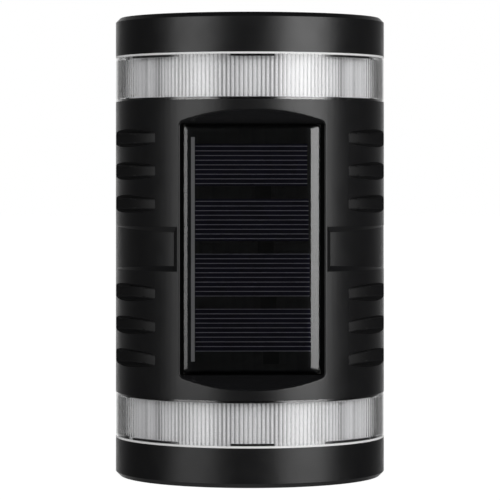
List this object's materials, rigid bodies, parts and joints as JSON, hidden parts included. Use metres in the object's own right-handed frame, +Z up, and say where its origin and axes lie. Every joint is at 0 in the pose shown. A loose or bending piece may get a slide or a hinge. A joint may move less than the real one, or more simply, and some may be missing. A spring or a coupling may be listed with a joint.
{
  "type": "fence light",
  "caption": "Half-round black solar light for a fence or wall, with a solar panel in its front and a ribbed clear light band above and below.",
  "frame": {"origin": "centre of the flat back, on the plane that lies against the fence", "axes": "+Z up along the light's length, +Y into the fence, so the front with the solar panel looks along -Y; +X is to the right as seen from the front"},
  "size_m": [0.096, 0.056, 0.163],
  "materials": {
    "black_abs": "satin, fine texture",
    "clear_lens": "clear, ribbed inside",
    "white_sleeve": "opal white",
    "resin": "clear cast resin",
    "silicon": "dark blue-black, fine light lines",
    "ribbon": "tinned, dull",
    "link_black": "dark",
    "panel_black": "black board",
    "foam": "soft foam",
    "screw_steel": "zinc plated",
    "led_board_white": "white board",
    "led": "pale yellow",
    "board_green": "solder mask",
    "chip_black": "moulded",
    "coil_grey": "ferrite",
    "capacitor_can": "plain",
    "switch_shell": "plain",
    "knob_black": "satin",
    "holder_black": "satin",
    "cell_can": "nickel plated",
    "cell_sleeve": "plain shrink sleeve",
    "contact_steel": "nickel plated",
    "grommet_rubber": "soft",
    "wire_red": "insulation",
    "wire_black": "insulation"
  },
  "bodies": {
    "light": {"main_housing": "black_abs", "top_cap": "black_abs", "bottom_cap": "black_abs", "back_cover": "black_abs", "upper_lens": "clear_lens", "lower_lens": "clear_lens", "upper_diffuser": "white_sleeve", "lower_diffuser": "white_sleeve", "panel_epoxy": "resin", "solar_cell_1": "silicon", "solar_cell_2": "silicon", "solar_cell_3": "silicon", "solar_cell_4": "silicon", "cell_ribbon": "ribbon", "cell_links": "link_black", "panel_board": "panel_black", "panel_tape": "foam", "back_gasket": "foam", "upper_led_tape": "foam", "lower_led_tape": "foam", "back_cover_screws": "screw_steel", "cap_screws": "screw_steel", "board_screws": "screw_steel", "holder_screws": "screw_steel", "upper_led_board": "led_board_white", "lower_led_board": "led_board_white", "upper_leds": "led", "lower_leds": "led", "control_board": "board_green", "driver_chip": "chip_black", "board_resistors": "chip_black", "boost_inductor": "coil_grey", "buffer_capacitor": "capacitor_can", "switch_body": "switch_shell", "battery_holder": "holder_black", "battery_can": "cell_can", "battery_wrap": "cell_sleeve", "positive_plate": "contact_steel", "negative_plate": "contact_steel", "battery_spring": "contact_steel", "upper_grommet": "grommet_rubber", "lower_grommet": "grommet_rubber", "upper_led_wire_red": "wire_red", "upper_led_wire_black": "wire_black", "lower_led_wire_red": "wire_red", "lower_led_wire_black": "wire_black", "panel_wire_red": "wire_red", "panel_wire_black": "wire_black", "battery_wire_red": "wire_red", "battery_wire_black": "wire_black"},
    "switch": {"switch_knob": "knob_black"}
  },
  "joints": [
    {"name": "switch_slide", "type": "slide", "parent": "light", "child": "switch", "axis": [1, 0, 0], "range_m": [0, 0.002]}
  ]
}
